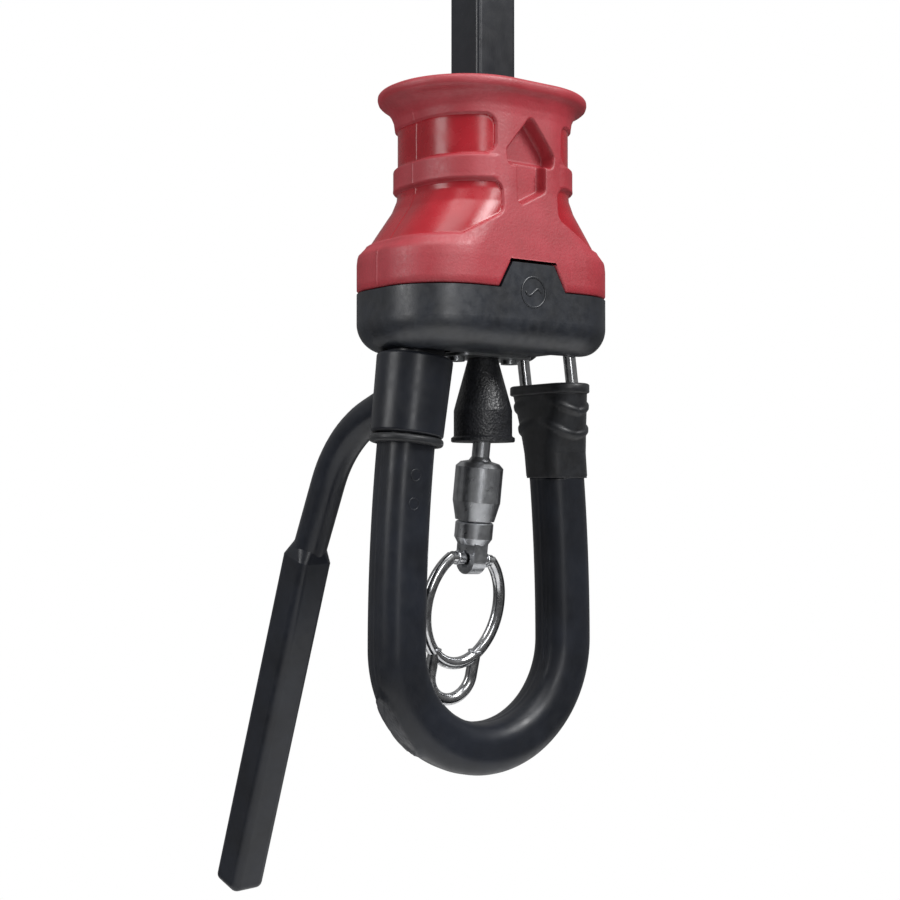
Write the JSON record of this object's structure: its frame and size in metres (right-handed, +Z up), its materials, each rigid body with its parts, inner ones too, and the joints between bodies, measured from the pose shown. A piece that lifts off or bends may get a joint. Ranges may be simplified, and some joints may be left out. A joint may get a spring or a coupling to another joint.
{
  "type": "kite quick release with harness loop",
  "caption": "Push-away quick release on a square centre tube, with a harness loop, a locking finger, a safety cone, a swivel and a leash ring.",
  "frame": {"origin": "centre of the centre tube's upper end face, where the part hangs from its lines", "axes": "+Z up along the centre tube; +X across the harness loop's two legs, towards the leg that opens; -Y is the front, with the arrow recess"},
  "size_m": [0.0852, 0.12, 0.3377],
  "materials": {
    "tube_coating": "coated square tube, dark, slight sheen",
    "line_grey": "braided line",
    "line_red": "braided line",
    "aluminium": "turned",
    "bearing_steel": "ground and polished",
    "red_shell": "moulded, fine spark texture with smooth panels",
    "nylon": "moulded nylon",
    "spring_steel": "drawn wire",
    "black_shell": "moulded, satin",
    "stainless": "brushed",
    "loop_urethane": "moulded urethane, satin",
    "load_rope": "braided rope",
    "black_rubber": "moulded rubber",
    "polished_stainless": "polished",
    "finger_urethane": "moulded urethane, semi-gloss",
    "cone_plastic": "moulded, fine texture",
    "blasted_stainless": "bead blasted"
  },
  "bodies": {
    "line_head": {"centre_tube": "tube_coating", "depower_line": "line_grey", "depower_line_eye": "line_grey", "swivel_head": "aluminium", "bearing_lower_race": "bearing_steel"},
    "base": {"base_housing": "black_shell", "core_housing": "nylon", "spring_retainer": "aluminium", "release_spring": "spring_steel", "bearing_upper_race": "bearing_steel", "bearing_balls": "bearing_steel", "load_frame": "stainless", "bottom_plate": "stainless", "base_screws": "stainless", "loop_anchor_pin": "stainless", "lever_pivot_pin": "stainless", "loop_tube": "loop_urethane", "loop_rope": "load_rope", "cuff_stop": "black_rubber", "safety_line": "line_red", "safety_cone": "cone_plastic"},
    "sleeve": {"release_sleeve": "red_shell", "sleeve_guide": "nylon"},
    "lever": {"release_lever": "stainless"},
    "loop_end": {"loop_tube_end": "loop_urethane", "loop_rope_end": "load_rope", "loop_end_boot": "black_rubber", "bail": "polished_stainless"},
    "finger": {"finger": "finger_urethane"},
    "swivel_body": {"swivel_barrel": "blasted_stainless", "swivel_cap": "blasted_stainless", "swivel_balls": "bearing_steel"},
    "swivel_stem": {"swivel_stem": "blasted_stainless"},
    "leash_ring": {"leash_ring_bow": "polished_stainless", "leash_ring_bar": "polished_stainless", "leash_ring_lower_bow": "polished_stainless"}
  },
  "joints": [
    {"name": "untwist_swivel", "type": "hinge", "parent": "line_head", "child": "base", "pos_m": [0, 0, 0], "axis": [0, 0, 1], "continuous": true},
    {"name": "sleeve_slide", "type": "slide", "parent": "base", "child": "sleeve", "axis": [0, 0, 1], "range_m": [0, 0.02], "stiffness_N_per_m": 600, "springref_m": -0.012, "deforming": ["release_spring"]},
    {"name": "lever_turn", "type": "hinge", "parent": "base", "child": "lever", "pos_m": [0.0175, 0, -0.1105], "axis": [0, 1, 0], "range_deg": [0, 55]},
    {"name": "loop_open", "type": "hinge", "parent": "base", "child": "loop_end", "pos_m": [-0.01385, 0, -0.24556], "axis": [0, 1, 0], "range_deg": [0, 22]},
    {"name": "finger_turn", "type": "hinge", "parent": "base", "child": "finger", "pos_m": [-0.02743, 0, -0.1315], "axis": [0.1296, 0, 0.9916], "range_deg": [-35, 200]},
    {"name": "safety_sway", "type": "hinge", "parent": "base", "child": "swivel_body", "pos_m": [0, 0, -0.141], "axis": [1, 0, 0], "range_deg": [-8, 6]},
    {"name": "swivel_spin", "type": "hinge", "parent": "swivel_body", "child": "swivel_stem", "pos_m": [0, 0, -0.141], "axis": [0.0347, -0.1039, 0.994], "continuous": true},
    {"name": "ring_tilt", "type": "hinge", "parent": "swivel_stem", "child": "leash_ring", "pos_m": [-0.00141, 0.00423, -0.1815], "axis": [0.9946, 0, -0.104], "range_deg": [-12, 8]}
  ],
  "couplings": [
    {"joint": "lever_turn", "follows": "sleeve_slide", "rad_per_m": 47.9},
    {"joint": "loop_open", "follows": "sleeve_slide", "rad_per_m": 19.1}
  ]
}
